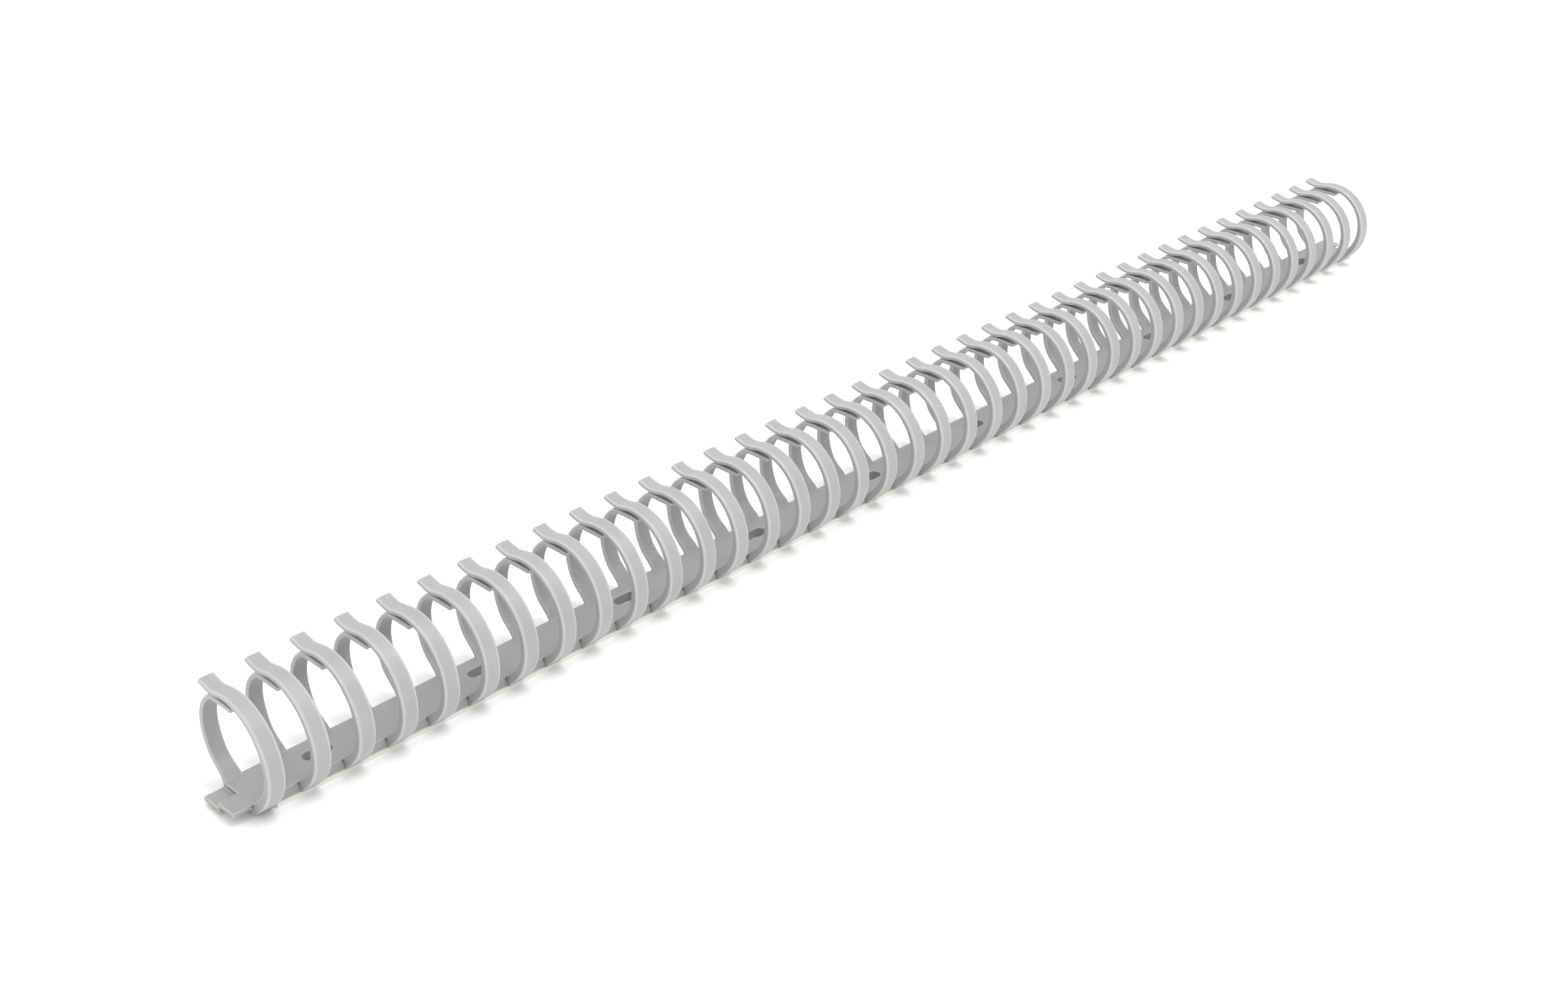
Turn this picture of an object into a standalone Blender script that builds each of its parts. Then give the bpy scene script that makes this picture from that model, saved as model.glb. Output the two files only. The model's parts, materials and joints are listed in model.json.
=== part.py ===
"""Open cable duct: a long base strip with forty pairs of curved fingers that close over a wiring channel.

The rear fingers are moulded in one piece with the base. Each front finger bends at its root, so it is an object
of its own with its origin on the line that it bends about. An adhesive tape and its release liner lie under the
base. Lengths are in millimetres until they are scaled by MM; +X runs along the duct and the liner lies on z = 0.
"""
import itertools
import math

import bmesh
import bpy
from mathutils import Vector

MM = 0.001

# Rows of fingers
RING_COUNT = 40
RING_PITCH = 12.5

# Layers under the channel, from the bottom up
LINER_TOP = 0.15
TAPE_BOTTOM = 0.4
TAPE_TOP = 0.75
BASE_BOTTOM = 1.0
BASE_TOP = 4.0
STRIP_HALF_WIDTH = 7.1

# Base strip: its end walls, measured from the first and last rings, and the half laps that join the next length
BASE_HALF_WIDTH = 6.5
NEAR_WALL = 2.6
FAR_WALL = 4.5
LAP_GAP = 0.1
LAP_LENGTH = RING_PITCH - NEAR_WALL - FAR_WALL - LAP_GAP
TONGUE_BOTTOM = 2.75
LAP_TOP = 2.4

# Tape and liner, from just after the first ring's root to the last ring's
TAPE_NEAR = 3.3
TAPE_FAR = 3.4

# Slots for screws, one every four rings
SLOT_COUNT = 10
SLOT_SPACING = 4 * RING_PITCH
SLOT_FROM_RING = 19.8
SLOT_LENGTH = 8.1
SLOT_WIDTH = 4.0
SLOT_Y = 0.5
SLOT_ARC_STEPS = 6

# Front finger, in (y, z) measured from the middle of the top of the base
ROOT_Y = -6.8
ROOT_BOTTOM = BASE_BOTTOM - BASE_TOP
ROOT_OUTER = ((ROOT_Y, ROOT_BOTTOM), (-7.6, -2.1))
ROOT_INNER = ((ROOT_Y, 0.2), (-6.95, 0.5))
FRONT_CENTRE = (0.4, 11.1)
FRONT_RADIUS = 15.45
FRONT_ANGLES = (234.0, 180.0, 96.0)
FRONT_STEPS = 6
FRONT_CROWN = ((1.6, 26.5), (4.0, 26.05), (6.6, 25.6), (9.0, 25.95), (11.2, 26.6))
FRONT_THICKNESS = (2.7, 2.05, 1.6, 1.3, 1.2)
FRONT_HALF_WIDTHS = (2.4, 2.2)

# Rear finger, in the same plane: the root, the curve and the flat tab that the front finger rests on
REAR_CURVE = ((8.0, 0.5), (9.7, 1.8), (12.0, 4.2), (13.7, 8.0), (14.4, 12.4),
              (13.8, 16.4), (12.0, 20.1), (9.2, 23.0), (6.5, 24.0))
REAR_TAB_END = (-1.6, 23.85)
REAR_THICKNESS = (1.5, 1.8, 1.3, 1.0)
REAR_FOOT_HALF_WIDTH = 2.5
REAR_HALF_WIDTH = 2.1
REAR_FOOT_HEIGHT = 2.5

# Colours in linear RGB
GREY = (0.54, 0.55, 0.55)
FOAM = (0.62, 0.62, 0.55)
PAPER = (0.80, 0.80, 0.74)


def ring_x(index):
    """The middle of ring index, counted from 0."""
    return RING_PITCH * (index - (RING_COUNT - 1) / 2)


def arc(centre, radius, start, end, steps):
    """Points on an arc in the (y, z) plane, its first point left out."""
    points = []
    for step in range(1, steps + 1):
        angle = math.radians(start + (end - start) * step / steps)
        points.append((centre[0] + radius * math.cos(angle), centre[1] + radius * math.sin(angle)))
    return points


def blend(values, share):
    """A value between evenly spaced values, share going from 0 to 1."""
    place = share * (len(values) - 1)
    first = min(int(place), len(values) - 2)
    return values[first] + (values[first + 1] - values[first]) * (place - first)


def offset(outer, thicknesses, side):
    """The other face of a strip whose outer face follows outer, thicknesses spread evenly along it."""
    inner = []
    for i, point in enumerate(outer):
        before = Vector(outer[max(i - 1, 0)])
        after = Vector(outer[min(i + 1, len(outer) - 1)])
        along = (after - before).normalized()
        across = Vector((along.y, -along.x)) * side
        thickness = blend(thicknesses, i / (len(outer) - 1))
        inner.append(tuple(Vector(point) + across * thickness))
    return inner


def material(name, colour, roughness):
    made = bpy.data.materials.new(name)
    made.use_nodes = True
    shader = made.node_tree.nodes["Principled BSDF"]
    shader.inputs["Base Color"].default_value = (*colour, 1.0)
    shader.inputs["Roughness"].default_value = roughness
    shader.inputs["Metallic"].default_value = 0.0
    return made


def to_mesh(bm, name, made_of):
    bmesh.ops.recalc_face_normals(bm, faces=bm.faces)
    mesh = bpy.data.meshes.new(name)
    bm.to_mesh(mesh)
    bm.free()
    mesh.materials.append(made_of)
    return mesh


def place(name, mesh, location=(0.0, 0.0, 0.0)):
    placed = bpy.data.objects.new(name, mesh)
    placed.location = location
    bpy.context.scene.collection.objects.link(placed)
    return placed


def section(bm, x, half_width, outer, inner, origin=(0.0, 0.0)):
    """One rectangular section of a strip, as four corners around it."""
    corners = ((-half_width, outer), (half_width, outer), (half_width, inner), (-half_width, inner))
    return [bm.verts.new(Vector((x + dx, y - origin[0], z - origin[1])) * MM) for dx, (y, z) in corners]


def join_sections(bm, sections):
    for low, high in zip(sections, sections[1:]):
        for i in range(4):
            j = (i + 1) % 4
            bm.faces.new((low[i], low[j], high[j], high[i]))


def front_outline():
    """The outer and inner faces of a front finger, from its root to its flared tip."""
    start, side, top = FRONT_ANGLES
    rounded = [arc(FRONT_CENTRE, FRONT_RADIUS, start, start, 1)[0]]
    rounded += arc(FRONT_CENTRE, FRONT_RADIUS, start, side, FRONT_STEPS)
    rounded += arc(FRONT_CENTRE, FRONT_RADIUS, side, top, FRONT_STEPS)
    free = rounded + list(FRONT_CROWN)
    return list(ROOT_OUTER) + free, list(ROOT_INNER) + offset(free, FRONT_THICKNESS, 1.0)


def front_finger_mesh(made_of):
    """The strip from root to tip, with its origin on the root's lower edge."""
    bm = bmesh.new()
    outer, inner = front_outline()
    sections = []
    for i, (out, into) in enumerate(zip(outer, inner)):
        half_width = blend(FRONT_HALF_WIDTHS, i / (len(outer) - 1))
        sections.append(section(bm, 0.0, half_width, out, into, (ROOT_Y, ROOT_BOTTOM)))
    join_sections(bm, sections)
    bm.faces.new(reversed(sections[0]))
    bm.faces.new(sections[-1])
    return to_mesh(bm, "front_finger", made_of)


def wall_xs():
    """The two end walls, where the base's full thickness ends."""
    return ring_x(0) - NEAR_WALL, ring_x(RING_COUNT - 1) + FAR_WALL


def is_solid(x, y, z):
    """Is this point inside the base strip or one of the laps past its end walls?"""
    near, far = wall_xs()
    if near < x < far:
        return True
    if abs(y) < LAP_GAP:
        return False
    upper = (x < near) == (y < 0)
    return z > TONGUE_BOTTOM if upper else z < LAP_TOP


def strip_breaks():
    """Where the strip's faces are divided along each axis: at its ends, its laps and each rear finger's foot."""
    near, far = wall_xs()
    xs = {near - LAP_LENGTH, near, far, far + LAP_LENGTH}
    for index in range(RING_COUNT):
        xs |= {ring_x(index) - REAR_FOOT_HALF_WIDTH, ring_x(index) + REAR_FOOT_HALF_WIDTH}
    ys = [-BASE_HALF_WIDTH, -LAP_GAP, LAP_GAP, BASE_HALF_WIDTH]
    return sorted(xs), ys, [BASE_BOTTOM, LAP_TOP, TONGUE_BOTTOM, BASE_TOP]


def strip_faces(bm):
    """The base strip's outer faces, one for each side of a solid cell that looks into the open."""
    breaks = strip_breaks()
    corners = {}

    def corner(place):
        if place not in corners:
            corners[place] = bm.verts.new(Vector([breaks[axis][place[axis]] for axis in range(3)]) * MM)
        return corners[place]

    def solid(cell):
        if any(not 0 <= cell[axis] < len(breaks[axis]) - 1 for axis in range(3)):
            return False
        return is_solid(*[(breaks[axis][cell[axis]] + breaks[axis][cell[axis] + 1]) / 2 for axis in range(3)])

    for cell in itertools.product(*[range(len(values) - 1) for values in breaks]):
        if not solid(cell):
            continue
        for axis, way in itertools.product(range(3), (0, 1)):
            beyond = tuple(c + (2 * way - 1) * (a == axis) for a, c in enumerate(cell))
            if solid(beyond):
                continue
            others = [a for a in range(3) if a != axis]
            loop = []
            for first, second in ((0, 0), (1, 0), (1, 1), (0, 1)):
                place = [0, 0, 0]
                place[axis] = cell[axis] + way
                place[others[0]] = cell[others[0]] + first
                place[others[1]] = cell[others[1]] + second
                loop.append(corner(tuple(place)))
            bm.faces.new(loop)


def foot_section(bm, x):
    """The corners of the rear edge's face that the finger at x grows from, in the order of section."""
    places = []
    for z in (TONGUE_BOTTOM, BASE_TOP):
        places.append([Vector((x + side * REAR_FOOT_HALF_WIDTH, BASE_HALF_WIDTH, z)) * MM for side in (-1, 1)])
    ordered = (places[0][0], places[0][1], places[1][1], places[1][0])
    foot = [min(bm.verts, key=lambda vert: (vert.co - at).length_squared) for at in ordered]
    bm.faces.remove(bm.faces.get(foot))
    return foot


def grow_rear_finger(bm, x, outline):
    """A rear finger in one piece with the strip, from its foot to the end of its tab."""
    sections = [foot_section(bm, x)]
    for outer, inner in outline:
        narrowed = min(outer[1] / REAR_FOOT_HEIGHT, 1.0)
        half_width = blend((REAR_FOOT_HALF_WIDTH, REAR_HALF_WIDTH), narrowed)
        sections.append(section(bm, x, half_width, outer, inner, (0.0, -BASE_TOP)))
    join_sections(bm, sections)
    bm.faces.new(sections[-1])


def rear_outline():
    outer = list(REAR_CURVE) + [REAR_TAB_END]
    return list(zip(outer, offset(outer, REAR_THICKNESS, -1.0)))


def base_mesh(made_of):
    """The strip with its laps and its forty rear fingers, before the slots are cut."""
    bm = bmesh.new()
    strip_faces(bm)
    outline = rear_outline()
    for index in range(RING_COUNT):
        grow_rear_finger(bm, ring_x(index), outline)
    return to_mesh(bm, "base_moulding", made_of)


def stadium(length, width):
    """A slot's outline around (0, 0), long along x."""
    radius = width / 2
    outline = []
    for end in (1, -1):
        for step in range(SLOT_ARC_STEPS + 1):
            angle = math.pi * (step / SLOT_ARC_STEPS - 0.5) + (0 if end == 1 else math.pi)
            outline.append((end * (length / 2 - radius) + radius * math.cos(angle), radius * math.sin(angle)))
    return outline


def slot_cutter(made_of):
    """Ten upright stadium prisms through the strip, as one guide object."""
    bm = bmesh.new()
    for index in range(SLOT_COUNT):
        x = ring_x(0) + SLOT_FROM_RING + SLOT_SPACING * index
        rings = []
        for z in (BASE_BOTTOM - 1.0, BASE_TOP + 1.0):
            rings.append([bm.verts.new(Vector((x + dx, SLOT_Y + dy, z)) * MM)
                          for dx, dy in stadium(SLOT_LENGTH, SLOT_WIDTH)])
        for i in range(len(rings[0])):
            j = (i + 1) % len(rings[0])
            bm.faces.new((rings[0][i], rings[0][j], rings[1][j], rings[1][i]))
        bm.faces.new(reversed(rings[0]))
        bm.faces.new(rings[1])
    cutter = place("slot_cutter", to_mesh(bm, "slot_cutter", made_of))
    cutter.hide_render = True
    cutter.display_type = "WIRE"
    return cutter


def sheet(name, bottom, top, made_of):
    """A flat layer under the base, as wide as the strip of tape."""
    bm = bmesh.new()
    xs = (ring_x(0) + TAPE_NEAR, ring_x(RING_COUNT - 1) + TAPE_FAR)
    rings = []
    for z in (bottom, top):
        corners = ((xs[0], -STRIP_HALF_WIDTH), (xs[1], -STRIP_HALF_WIDTH),
                   (xs[1], STRIP_HALF_WIDTH), (xs[0], STRIP_HALF_WIDTH))
        rings.append([bm.verts.new(Vector((x, y, z)) * MM) for x, y in corners])
    join_sections(bm, rings)
    bm.faces.new(reversed(rings[0]))
    bm.faces.new(rings[1])
    return place(name, to_mesh(bm, name, made_of))


def main():
    for old in list(bpy.data.objects):
        bpy.data.objects.remove(old)
    plastic = material("grey_polypropylene", GREY, 0.5)
    base = place("base_moulding", base_mesh(plastic))
    cut = base.modifiers.new("slots", "BOOLEAN")
    cut.operation = "DIFFERENCE"
    cut.solver = "EXACT"
    cut.object = slot_cutter(plastic)
    finger = front_finger_mesh(plastic)
    for index in range(RING_COUNT):
        root = Vector((ring_x(index), ROOT_Y, BASE_TOP + ROOT_BOTTOM)) * MM
        place(f"front_finger_{index + 1:02d}", finger, root)
    sheet("adhesive_tape", TAPE_BOTTOM, TAPE_TOP, material("foam", FOAM, 0.9))
    sheet("release_liner", 0.0, LINER_TOP, material("liner_paper", PAPER, 0.6))


main()
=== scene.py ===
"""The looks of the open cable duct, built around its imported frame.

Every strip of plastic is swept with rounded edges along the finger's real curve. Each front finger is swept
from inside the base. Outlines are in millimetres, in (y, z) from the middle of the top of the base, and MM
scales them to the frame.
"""
import itertools
import json
import math

import bmesh
import bpy
import numpy as np
from mathutils import Euler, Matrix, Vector


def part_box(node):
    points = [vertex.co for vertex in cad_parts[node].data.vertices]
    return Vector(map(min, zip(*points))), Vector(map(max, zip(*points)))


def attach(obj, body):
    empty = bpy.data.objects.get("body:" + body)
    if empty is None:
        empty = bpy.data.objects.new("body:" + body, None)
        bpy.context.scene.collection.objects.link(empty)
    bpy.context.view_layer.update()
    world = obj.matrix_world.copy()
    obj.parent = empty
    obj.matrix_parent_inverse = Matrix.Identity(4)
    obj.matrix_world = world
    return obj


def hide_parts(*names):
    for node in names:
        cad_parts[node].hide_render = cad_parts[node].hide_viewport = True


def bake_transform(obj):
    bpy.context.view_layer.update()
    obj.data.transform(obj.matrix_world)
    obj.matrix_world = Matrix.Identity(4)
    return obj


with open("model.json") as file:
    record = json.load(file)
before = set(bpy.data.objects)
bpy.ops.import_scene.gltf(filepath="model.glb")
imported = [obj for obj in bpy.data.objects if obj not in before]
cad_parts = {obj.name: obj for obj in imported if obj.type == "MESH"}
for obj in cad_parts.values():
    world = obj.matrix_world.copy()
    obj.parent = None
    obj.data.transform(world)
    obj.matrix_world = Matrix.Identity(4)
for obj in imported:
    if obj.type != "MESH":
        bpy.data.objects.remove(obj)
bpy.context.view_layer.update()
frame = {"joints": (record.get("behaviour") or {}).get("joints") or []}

MM = 0.001
HINGES = [joint for joint in frame["joints"] if joint["type"] == "hinge"]
RING_XS = [joint["pos_m"][0] / MM for joint in HINGES]
RING_PITCH = RING_XS[1] - RING_XS[0]
BASE_BOTTOM = HINGES[0]["pos_m"][2] / MM
BASE_THICKNESS = 3.0
BASE_TOP = BASE_BOTTOM + BASE_THICKNESS

# Front finger
FRONT_CENTRE = (0.4, 11.1)
FRONT_RADIUS = 15.45
FRONT_ANGLES = (228.0, 96.0)
FRONT_ANGLE_STEP = 6.0
FRONT_ROOT = (((-6.0, -2.94), (-5.5, -0.4)), ((-7.06, -2.96), (-6.3, -0.15)), ((-7.7, -2.3), (-6.9, 0.3)),
              ((-8.5, -1.58), (-7.5, 0.9)))
FRONT_CROWN = ((1.6, 26.5), (4.0, 26.05), (6.6, 25.6), (9.0, 25.95), (11.2, 26.6))
FRONT_THICKNESS = (2.7, 2.05, 1.6, 1.3, 1.2)
FRONT_HALF_WIDTHS = (2.4, 2.2)

# Rear finger
REAR_ROOT = (((6.1, -1.4), (4.6, -0.06)), ((6.6, -0.5), (5.4, 0.06)), ((7.2, 0.0), (6.2, 0.5)))
REAR_CURVE = ((8.0, 0.5), (9.7, 1.8), (12.0, 4.2), (13.7, 8.0), (14.4, 12.4),
              (13.8, 16.4), (12.0, 20.1), (9.2, 23.0), (6.5, 24.0))
REAR_TAB_END = (-1.6, 23.85)
REAR_THICKNESS = (1.5, 1.8, 1.3, 1.0)
REAR_FOOT_HALF_WIDTH = 2.5
REAR_HALF_WIDTH = 2.1
REAR_FOOT_HEIGHT = 3.0

# Fingers' sections: edges that are sharp at the root and rounded past ROUNDED_FROM, a share of the finger's
# length, and points held close beside them, which keep the faces between them flat
STATION_SPACING = 0.9
OUTER_EDGE = 0.6
INNER_EDGE = 0.22
SHARP_EDGE = 0.06
LEAST_EDGE = 0.01
ROUNDED_FROM = 0.12
CORNER_STEPS = 3
HOLD = 0.35
SIDE_HOLD = 0.12
END_ROUNDING = 0.12
END_STEPS = 3

# How far a rounding's first and last points take the paler colour of edges, a painted highlight, where 1 is
# all of it
END_HIGHLIGHT = 0.35

# Base strip
BASE_HALF_WIDTH = 6.5
NEAR_WALL = 2.6
FAR_WALL = 4.5
LAP_CLEARANCE = 0.1
LAP_LENGTH = RING_PITCH - NEAR_WALL - FAR_WALL - LAP_CLEARANCE
TONGUE_BOTTOM = BASE_TOP - 1.25
LAP_TOP = BASE_TOP - 1.6
SLOT_COUNT = 10
SLOT_SPACING = 4 * RING_PITCH
SLOT_FROM_RING = 19.8
SLOT_LENGTH = 8.1
SLOT_WIDTH = 4.0
SLOT_Y = 0.5
SLOT_ARC_STEPS = 12
CUT_PAST = 1.0
BASE_EDGE = 0.25
BASE_EDGE_STEPS = 3
SHARPER_THAN = math.radians(40)

# Creases in the front face of the base, on both sides of each front finger's root, as a profile in (y, z)
CREASE_FROM_RING = 2.68
CREASE_HALF_WIDTH = 0.36
CREASE = ((-8.0, -2.3), (-6.48, -2.3), (-5.9, -1.2), (-5.9, -0.15), (-8.0, -0.15))

# Roundings of the tape and the liner, and how far the floor lies below them
TAPE_EDGE = 0.06
LINER_EDGE = 0.03
SLAB_EDGE_STEPS = 2
FLOOR_DROP = 0.02

# Studio, in metres
FLOOR_REACH = 6.0
KEY_PLACE = (0.2, -0.4, 1.5)
KEY_SIZE = 1.0
KEY_POWER = 13.0
CAMERA_PLACE = (-0.42358, -0.35058, 0.28253)
CAMERA_DOWN = 28.175
CAMERA_TURN = -45.870
CAMERA_LENS = 44.906
CAMERA_CLIP = 0.01


def smooth_path(points, spacing):
    """Points about spacing apart on a smooth curve through points, spaced by their first two coordinates."""
    path = [np.array(p, float) for p in points]
    path = [2 * path[0] - path[1]] + path + [2 * path[-1] - path[-2]]
    made = []
    for a, b, c, d in zip(path, path[1:], path[2:], path[3:]):
        steps = max(1, round(float(np.linalg.norm((c - b)[:2])) / spacing))
        for t in np.arange(steps) / steps:
            made.append(0.5 * (2 * b + (c - a) * t + (2 * a - 5 * b + 4 * c - d) * t ** 2
                               + (3 * b - a - 3 * c + d) * t ** 3))
    return made + [path[-2]]


def spread(values, share):
    """A value between evenly spaced values, share going from 0 to 1."""
    return float(np.interp(share, np.linspace(0, 1, len(values)), values))


def thicken(outer, thicknesses, side):
    """Each point of a strip's outer face with the point across from it on the inner face."""
    outer = [Vector(p) for p in outer]
    lengths = [0.0] + list(itertools.accumulate((b - a).length for a, b in zip(outer, outer[1:])))
    made = []
    for i, point in enumerate(outer):
        along = (outer[min(i + 1, len(outer) - 1)] - outer[max(i - 1, 0)]).normalized()
        across = Vector((along.y, -along.x)) * side * spread(thicknesses, lengths[i] / lengths[-1])
        made.append((*point, *(point + across)))
    return made


def front_outline():
    """Stations of a front finger from inside the base to its flared tip: outer y, z and inner y, z."""
    turned = np.radians(np.arange(FRONT_ANGLES[0], FRONT_ANGLES[1] - 1, -FRONT_ANGLE_STEP))
    outer = [(FRONT_CENTRE[0] + FRONT_RADIUS * math.cos(a), FRONT_CENTRE[1] + FRONT_RADIUS * math.sin(a))
             for a in turned]
    free = thicken(outer + list(FRONT_CROWN), FRONT_THICKNESS, 1.0)
    return smooth_path([(*a, *b) for a, b in FRONT_ROOT] + free, STATION_SPACING)


def rear_outline():
    free = thicken(list(REAR_CURVE) + [REAR_TAB_END], REAR_THICKNESS, -1.0)
    return smooth_path([(*a, *b) for a, b in REAR_ROOT] + free, STATION_SPACING)


def front_width(share, station):
    return spread(FRONT_HALF_WIDTHS, share)


def rear_width(share, station):
    """Half the width of a rear finger, which flares towards its foot."""
    low = min(max(station[3] / REAR_FOOT_HEIGHT, 0.0), 1.0)
    return REAR_HALF_WIDTH + (REAR_FOOT_HALF_WIDTH - REAR_HALF_WIDTH) * (1 - low) ** 2


def section(half_width, thickness, inset, share):
    """(across, through, painted highlight) round a strip, its edges sharp at its root; through is 0 at the
    inner face.
    """
    eased = min(share / ROUNDED_FROM, 1.0)
    made = []
    for turn, (side, outside) in enumerate(((1, True), (-1, True), (-1, False), (1, False))):
        radius = SHARP_EDGE + eased * ((OUTER_EDGE if outside else INNER_EDGE) - SHARP_EDGE)
        radius = min(radius, thickness / 2 - END_ROUNDING / 2)
        across = side * (half_width - radius)
        through = thickness - radius if outside else radius
        shrunk = max(radius - inset, LEAST_EDGE)
        arc = []
        for step in range(CORNER_STEPS + 1):
            angle = math.pi / 2 * (turn + step / CORNER_STEPS)
            # The arc's middle points take all of the painted highlight of a rounded edge, its first and last
            # points less
            painted_highlight = 1.0 if 0 < step < CORNER_STEPS else END_HIGHLIGHT
            arc.append((across + shrunk * math.cos(angle), through + shrunk * math.sin(angle), painted_highlight))
        beside = (across + side * shrunk, through - SIDE_HOLD if outside else through + SIDE_HOLD, 0.0)
        hold = (across - side * HOLD, thickness - inset if outside else inset, 0.0)
        made += [beside] + arc + [hold] if turn % 2 == 0 else [hold] + arc + [beside]
    return made


def sweep(name, stations, width_at, x):
    """A closed strip with rounded edges through stations, its last end rounded and its first one flat."""
    verts, edge = [], []
    inner, outer = np.array(stations)[:, 2:], np.array(stations)[:, :2]
    last = (outer[-1] + inner[-1] - outer[-2] - inner[-2])
    last /= np.linalg.norm(last)
    rings = [(outer[i], inner[i], 0.0, i / (len(stations) - 1)) for i in range(len(stations) - 1)]
    for step in range(END_STEPS + 1):
        turned = math.pi / 2 * step / END_STEPS
        back = last * END_ROUNDING * (math.sin(turned) - 1)
        rings.append((outer[-1] + back, inner[-1] + back, END_ROUNDING * (1 - math.cos(turned)), 1.0))
    for out, into, inset, share in rings:
        thickness = float(np.linalg.norm(out - into))
        through = (out - into) / thickness
        for u, v, painted_highlight in section(width_at(share, (*out, *into)), thickness, inset, share):
            y, z = into + through * v
            verts.append((x + u, y, z + BASE_TOP))
            # Painted highlight: paler colour on the rounded edges and the rounded tip, kept in the edge
            # attribute
            edge.append(max(painted_highlight, inset / END_ROUNDING))
    count = len(verts) // len(rings)
    faces = []
    for ring in range(len(rings) - 1):
        for i in range(count):
            a, b = ring * count + i, ring * count + (i + 1) % count
            faces.append((a, b, b + count, a + count))
    faces.append(tuple(range(count - 1, -1, -1)))
    faces.append(tuple(range(len(verts) - count, len(verts))))
    mesh = bpy.data.meshes.new(name)
    mesh.from_pydata((np.array(verts) * MM).tolist(), [], faces)
    attribute = mesh.attributes.new("edge", "FLOAT", "POINT")
    attribute.data.foreach_set("value", np.array(edge, np.float32))
    tidy(mesh)
    return add(name, mesh)


def tidy(mesh):
    """Faces outwards, shaded smooth."""
    bm = bmesh.new()
    bm.from_mesh(mesh)
    bmesh.ops.recalc_face_normals(bm, faces=bm.faces)
    bm.to_mesh(mesh)
    bm.free()
    mesh.shade_smooth()


def add(name, mesh):
    made = bpy.data.objects.new(name, mesh)
    bpy.context.scene.collection.objects.link(made)
    return made


# --- Base strip ----------------------------------------------------------------------------------------

def is_solid(x, y, z):
    """Is this point inside the base strip or one of the laps past its end walls?"""
    near, far = RING_XS[0] - NEAR_WALL, RING_XS[-1] + FAR_WALL
    if near < x < far:
        return True
    upper = (x < near) == (y < 0)
    return z > TONGUE_BOTTOM if upper else z < LAP_TOP


def strip_mesh():
    """The strip and its laps, as the outer faces of a few blocks."""
    near, far = RING_XS[0] - NEAR_WALL, RING_XS[-1] + FAR_WALL
    breaks = [[near - LAP_LENGTH, near, far, far + LAP_LENGTH],
              [-BASE_HALF_WIDTH, 0.0, BASE_HALF_WIDTH],
              [BASE_BOTTOM, LAP_TOP, TONGUE_BOTTOM, BASE_TOP]]
    bm = bmesh.new()
    corners = {}

    def corner(place):
        if place not in corners:
            corners[place] = bm.verts.new(Vector([breaks[axis][place[axis]] for axis in range(3)]) * MM)
        return corners[place]

    def solid(cell):
        if any(not 0 <= cell[axis] < len(breaks[axis]) - 1 for axis in range(3)):
            return False
        return is_solid(*[(breaks[axis][cell[axis]] + breaks[axis][cell[axis] + 1]) / 2 for axis in range(3)])

    for cell in itertools.product(*[range(len(values) - 1) for values in breaks]):
        if not solid(cell):
            continue
        for axis, way in itertools.product(range(3), (0, 1)):
            beyond = tuple(c + (2 * way - 1) * (a == axis) for a, c in enumerate(cell))
            if solid(beyond):
                continue
            others = [a for a in range(3) if a != axis]
            loop = []
            for first, second in ((0, 0), (1, 0), (1, 1), (0, 1)):
                place = [0, 0, 0]
                place[axis] = cell[axis] + way
                place[others[0]] = cell[others[0]] + first
                place[others[1]] = cell[others[1]] + second
                loop.append(corner(tuple(place)))
            bm.faces.new(loop)
    bmesh.ops.recalc_face_normals(bm, faces=bm.faces)
    bmesh.ops.dissolve_limit(bm, angle_limit=math.radians(1), verts=bm.verts, edges=bm.edges)
    mesh = bpy.data.meshes.new("strip")
    bm.to_mesh(mesh)
    bm.free()
    return mesh


def stadium(length, width):
    """A slot's outline around (0, 0), long along x."""
    radius = width / 2
    outline = []
    for end, step in itertools.product((1, -1), range(SLOT_ARC_STEPS + 1)):
        angle = math.pi * (step / SLOT_ARC_STEPS - 0.5) + (0 if end == 1 else math.pi)
        outline.append((end * (length / 2 - radius) + radius * math.cos(angle), radius * math.sin(angle)))
    return outline


def prism(bm, low, high):
    """A closed solid between two outlines with as many points."""
    rings = [[bm.verts.new(Vector(point) * MM) for point in outline] for outline in (low, high)]
    for i in range(len(low)):
        j = (i + 1) % len(low)
        bm.faces.new((rings[0][i], rings[0][j], rings[1][j], rings[1][i]))
    bm.faces.new(reversed(rings[0]))
    bm.faces.new(rings[1])


def cutter(name, bm):
    bmesh.ops.recalc_face_normals(bm, faces=bm.faces)
    mesh = bpy.data.meshes.new(name)
    bm.to_mesh(mesh)
    bm.free()
    return add(name, mesh)


def slot_cutter():
    bm = bmesh.new()
    outline = stadium(SLOT_LENGTH, SLOT_WIDTH)
    for index in range(SLOT_COUNT):
        x = RING_XS[0] + SLOT_FROM_RING + SLOT_SPACING * index
        ends = (BASE_BOTTOM - CUT_PAST, BASE_TOP + CUT_PAST)
        prism(bm, *[[(x + dx, SLOT_Y + dy, z) for dx, dy in outline] for z in ends])
    return cutter("slot_cutter", bm)


def crease_cutter():
    bm = bmesh.new()
    for ring, side in itertools.product(RING_XS, (-1, 1)):
        middle = ring + side * CREASE_FROM_RING
        ends = (middle - CREASE_HALF_WIDTH, middle + CREASE_HALF_WIDTH)
        prism(bm, *[[(x, y, z + BASE_TOP) for y, z in CREASE] for x in ends])
    return cutter("crease_cutter", bm)


def settle(piece):
    """Makes a piece's evaluated mesh its own, with no modifiers left."""
    graph = bpy.context.evaluated_depsgraph_get()
    mesh = bpy.data.meshes.new_from_object(piece.evaluated_get(graph))
    piece.modifiers.clear()
    piece.data = mesh


def cut(piece, tool):
    made = piece.modifiers.new(tool.name, "BOOLEAN")
    made.operation = "DIFFERENCE"
    made.solver = "EXACT"
    made.object = tool
    settle(piece)
    bpy.data.objects.remove(tool)


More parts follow.
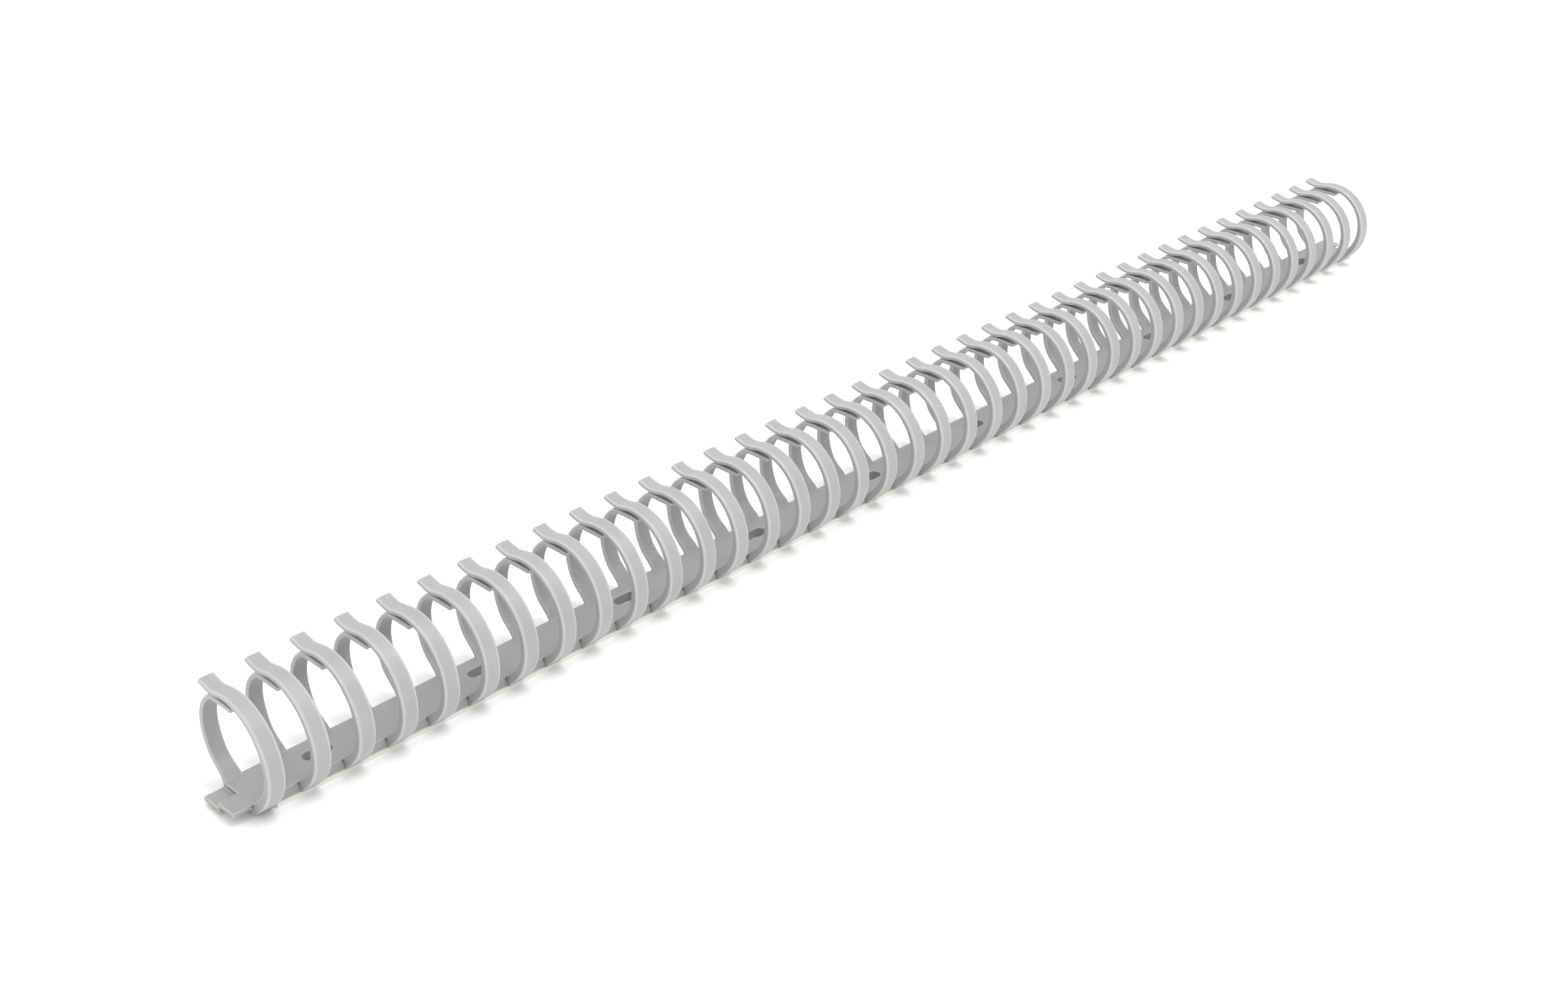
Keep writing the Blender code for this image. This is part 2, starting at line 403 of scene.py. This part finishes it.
def paint_edge_highlight(mesh):
    """Sets the edge attribute, a painted highlight, to 1 where every face around a point is a rounding, and
    to 0 elsewhere.
    """
    rounding = np.ones(len(mesh.vertices), np.float32)
    for face in mesh.polygons:
        if face.material_index == 0:
            rounding[list(face.vertices)] = 0.0
    mesh.attributes.new("edge", "FLOAT", "POINT").data.foreach_set("value", rounding)
    mesh.polygons.foreach_set("material_index", [0] * len(mesh.polygons))


def base_strip():
    strip = add("base_strip", strip_mesh())
    strip.data.materials.append(PLASTIC)
    strip.data.materials.append(PLASTIC)
    cut(strip, slot_cutter())
    rounding = strip.modifiers.new("edges", "BEVEL")
    rounding.width = BASE_EDGE * MM
    rounding.segments = BASE_EDGE_STEPS
    rounding.limit_method = "ANGLE"
    rounding.angle_limit = SHARPER_THAN
    # Bevel faces take the second material slot, which marks them for the painted highlight on rounded edges
    rounding.material = 1
    settle(strip)
    paint_edge_highlight(strip.data)
    cut(strip, crease_cutter())
    strip.data.shade_smooth()
    strip.data.set_sharp_from_angle(angle=SHARPER_THAN)
    strip.modifiers.new("flat_faces", "WEIGHTED_NORMAL").keep_sharp = True
    settle(strip)
    return strip


# --- Materials -----------------------------------------------------------------------------------------

def node(tree, kind, **values):
    made = tree.nodes.new(kind)
    for key, value in values.items():
        if key in made.inputs:
            made.inputs[key].default_value = value
        else:
            setattr(made, key, value)
    return made


def noise(tree, scale, detail):
    coordinates = node(tree, "ShaderNodeTexCoord")
    made = node(tree, "ShaderNodeTexNoise", Scale=scale, Detail=detail)
    tree.links.new(coordinates.outputs["Object"], made.inputs["Vector"])
    return made.outputs["Fac"]


def mixed(tree, factor, low, high):
    """A colour between low and high as factor goes from 0.3 to 0.7."""
    ramp = node(tree, "ShaderNodeValToRGB")
    ramp.color_ramp.elements[0].position = 0.3
    ramp.color_ramp.elements[0].color = (*low, 1.0)
    ramp.color_ramp.elements[1].position = 0.7
    ramp.color_ramp.elements[1].color = (*high, 1.0)
    tree.links.new(factor, ramp.inputs["Fac"])
    return ramp.outputs["Color"]


def plain(name):
    made = bpy.data.materials.new(name)
    made.use_nodes = True
    return made, made.node_tree, made.node_tree.nodes["Principled BSDF"]


def plastic():
    """Satin grey polypropylene: a faint cloudiness, a fine grain and paler rounded edges, which are a painted
    highlight.
    """
    made, tree, shader = plain("grey_polypropylene")
    cloud = mixed(tree, noise(tree, 90.0, 3.0), (0.33, 0.333, 0.338), (0.362, 0.365, 0.37))
    highlight_mix = node(tree, "ShaderNodeMix", data_type="RGBA")
    highlight_mask = node(tree, "ShaderNodeAttribute", attribute_name="edge")
    highlight_strength = node(tree, "ShaderNodeMath", operation="MULTIPLY")
    highlight_strength.inputs[1].default_value = 0.75
    tree.links.new(highlight_mask.outputs["Fac"], highlight_strength.inputs[0])
    tree.links.new(highlight_strength.outputs["Value"], highlight_mix.inputs["Factor"])
    tree.links.new(cloud, highlight_mix.inputs["A"])
    # Pale colour painted on rounded edges as a highlight
    highlight_mix.inputs["B"].default_value = (0.54, 0.545, 0.53, 1.0)
    tree.links.new(highlight_mix.outputs["Result"], shader.inputs["Base Color"])
    shader.inputs["Roughness"].default_value = 0.42
    shader.inputs["IOR"].default_value = 1.49
    shader.inputs["Subsurface Weight"].default_value = 0.12
    shader.inputs["Subsurface Radius"].default_value = (0.0012, 0.0012, 0.001)
    shader.inputs["Subsurface Scale"].default_value = 1.0
    grain = node(tree, "ShaderNodeBump", Strength=0.12, Distance=0.00005)
    tree.links.new(noise(tree, 2600.0, 2.0), grain.inputs["Height"])
    tree.links.new(grain.outputs["Normal"], shader.inputs["Normal"])
    return made


def foam():
    made, tree, shader = plain("foam_tape")
    tree.links.new(mixed(tree, noise(tree, 1800.0, 3.0), (0.72, 0.72, 0.66), (0.80, 0.80, 0.73)),
                   shader.inputs["Base Color"])
    shader.inputs["Roughness"].default_value = 0.9
    cells = node(tree, "ShaderNodeBump", Strength=0.5, Distance=0.0001)
    tree.links.new(noise(tree, 5200.0, 2.0), cells.inputs["Height"])
    tree.links.new(cells.outputs["Normal"], shader.inputs["Normal"])
    return made


def paper():
    made, tree, shader = plain("liner_paper")
    tree.links.new(mixed(tree, noise(tree, 260.0, 4.0), (0.86, 0.87, 0.72), (0.90, 0.91, 0.78)),
                   shader.inputs["Base Color"])
    shader.inputs["Roughness"].default_value = 0.5
    fibres = node(tree, "ShaderNodeBump", Strength=0.2, Distance=0.00003)
    tree.links.new(noise(tree, 3800.0, 3.0), fibres.inputs["Height"])
    tree.links.new(fibres.outputs["Normal"], shader.inputs["Normal"])
    return made


def floor_paint():
    made, tree, shader = plain("studio_floor")
    shader.inputs["Base Color"].default_value = (0.96, 0.96, 0.96, 1.0)
    shader.inputs["Roughness"].default_value = 0.95
    shader.inputs["Specular IOR Level"].default_value = 0.0
    return made


def dress(piece, material):
    piece.data.materials.clear()
    piece.data.materials.append(material)


# --- Assembly ------------------------------------------------------------------------------------------

PLASTIC = plastic()


def make_base():
    strip = base_strip()
    rear = rear_outline()
    fingers = [sweep(f"rear_finger_{i + 1:02d}", rear, rear_width, x) for i, x in enumerate(RING_XS)]
    for piece in [strip] + fingers:
        dress(piece, PLASTIC)
        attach(piece, "base")
        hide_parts("base_moulding")


def make_front_fingers():
    outline = front_outline()
    for index, (x, joint) in enumerate(zip(RING_XS, HINGES)):
        finger = sweep(f"front_finger_{index + 1:02d}_strip", outline, front_width, x)
        dress(finger, PLASTIC)
        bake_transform(finger)
        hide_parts(f"front_finger_{index + 1:02d}")


def slab(name, low, high, edge):
    """A layer between two corners, with rounded edges."""
    bm = bmesh.new()
    bmesh.ops.create_cube(bm, size=1.0)
    for vert in bm.verts:
        vert.co = Vector([low[i] if vert.co[i] < 0 else high[i] for i in range(3)])
    bmesh.ops.bevel(bm, geom=bm.edges, offset=edge * MM, segments=SLAB_EDGE_STEPS,
                    profile=0.5, affect="EDGES")
    mesh = bpy.data.meshes.new(name)
    bm.to_mesh(mesh)
    bm.free()
    mesh.shade_smooth()
    return add(name, mesh)


def make_tape():
    low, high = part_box("adhesive_tape")
    liner_low, liner_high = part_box("release_liner")
    bottom, top = (low.x, low.y, liner_high.z), (high.x, high.y, BASE_BOTTOM * MM)
    tape = slab("foam_tape_strip", bottom, top, TAPE_EDGE)
    dress(tape, foam())
    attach(tape, "base")
    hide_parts("adhesive_tape")
    liner = slab("liner_strip", liner_low, liner_high, LINER_EDGE)
    dress(liner, paper())
    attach(liner, "liner")
    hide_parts("release_liner")


# --- Studio --------------------------------------------------------------------------------------------

def studio():
    floor_mesh = bpy.data.meshes.new("floor")
    corners = [(x * FLOOR_REACH, y * FLOOR_REACH, 0.0) for x, y in ((-1, -1), (1, -1), (1, 1), (-1, 1))]
    floor_mesh.from_pydata(corners, [], [(0, 1, 2, 3)])
    floor = add("floor", floor_mesh)
    floor.location.z = -FLOOR_DROP * MM
    dress(floor, floor_paint())
    world = bpy.data.worlds.new("studio")
    world.use_nodes = True
    world.node_tree.nodes["Background"].inputs["Color"].default_value = (1.0, 1.0, 0.955, 1.0)
    world.node_tree.nodes["Background"].inputs["Strength"].default_value = 1.1
    bpy.context.scene.world = world
    softbox("key_light", KEY_PLACE, KEY_SIZE, KEY_POWER)
    bpy.context.scene.view_settings.view_transform = "Standard"


def softbox(name, place, size, power):
    light = bpy.data.lights.new(name, "AREA")
    light.size = size
    light.energy = power
    light.color = (0.95, 0.97, 1.0)
    lamp = bpy.data.objects.new(name, light)
    lamp.location = place
    lamp.rotation_mode = "QUATERNION"
    lamp.rotation_quaternion = (Vector((0, 0, 0)) - Vector(place)).to_track_quat("-Z", "Y")
    bpy.context.scene.collection.objects.link(lamp)


def camera():
    data = bpy.data.cameras.new("camera")
    data.lens = CAMERA_LENS
    data.clip_start = CAMERA_CLIP
    view = bpy.data.objects.new("camera", data)
    view.location = CAMERA_PLACE
    view.rotation_euler = Euler((math.radians(90 - CAMERA_DOWN), 0.0, math.radians(CAMERA_TURN)))
    bpy.context.scene.collection.objects.link(view)
    bpy.context.scene.camera = view


make_base()
make_front_fingers()
make_tape()
studio()
camera()
